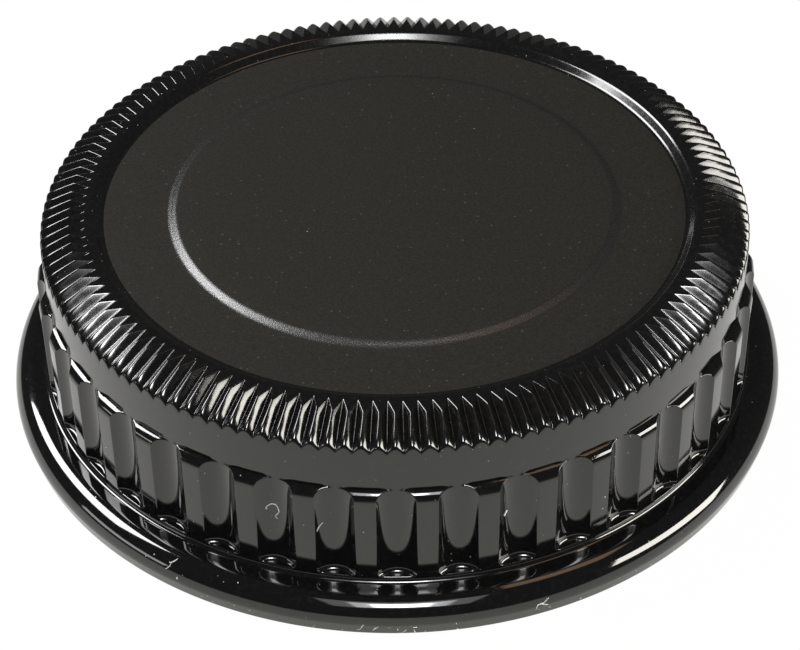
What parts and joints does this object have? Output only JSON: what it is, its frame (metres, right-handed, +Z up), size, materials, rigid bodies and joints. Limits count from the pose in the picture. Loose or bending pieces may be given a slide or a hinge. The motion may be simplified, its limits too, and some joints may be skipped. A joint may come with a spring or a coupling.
{
  "type": "rear lens cap",
  "caption": "Round black plastic rear lens cap with a flange, an upright ribbed grip, a knurled upper edge and inner bayonet lugs; it twists onto a lens mount to keep dust out.",
  "frame": {"origin": "centre of the flange's underside, where the cap stands on a surface", "axes": "+Z up along the cap's axis, out of its closed end; -Y towards the front in the picture"},
  "size_m": [0.062, 0.062, 0.0165],
  "materials": {
    "black_plastic": "polished black moulding with a matte, finely grained top disc"
  },
  "bodies": {
    "root": {"rear_cap": "black_plastic"}
  },
  "joints": []
}
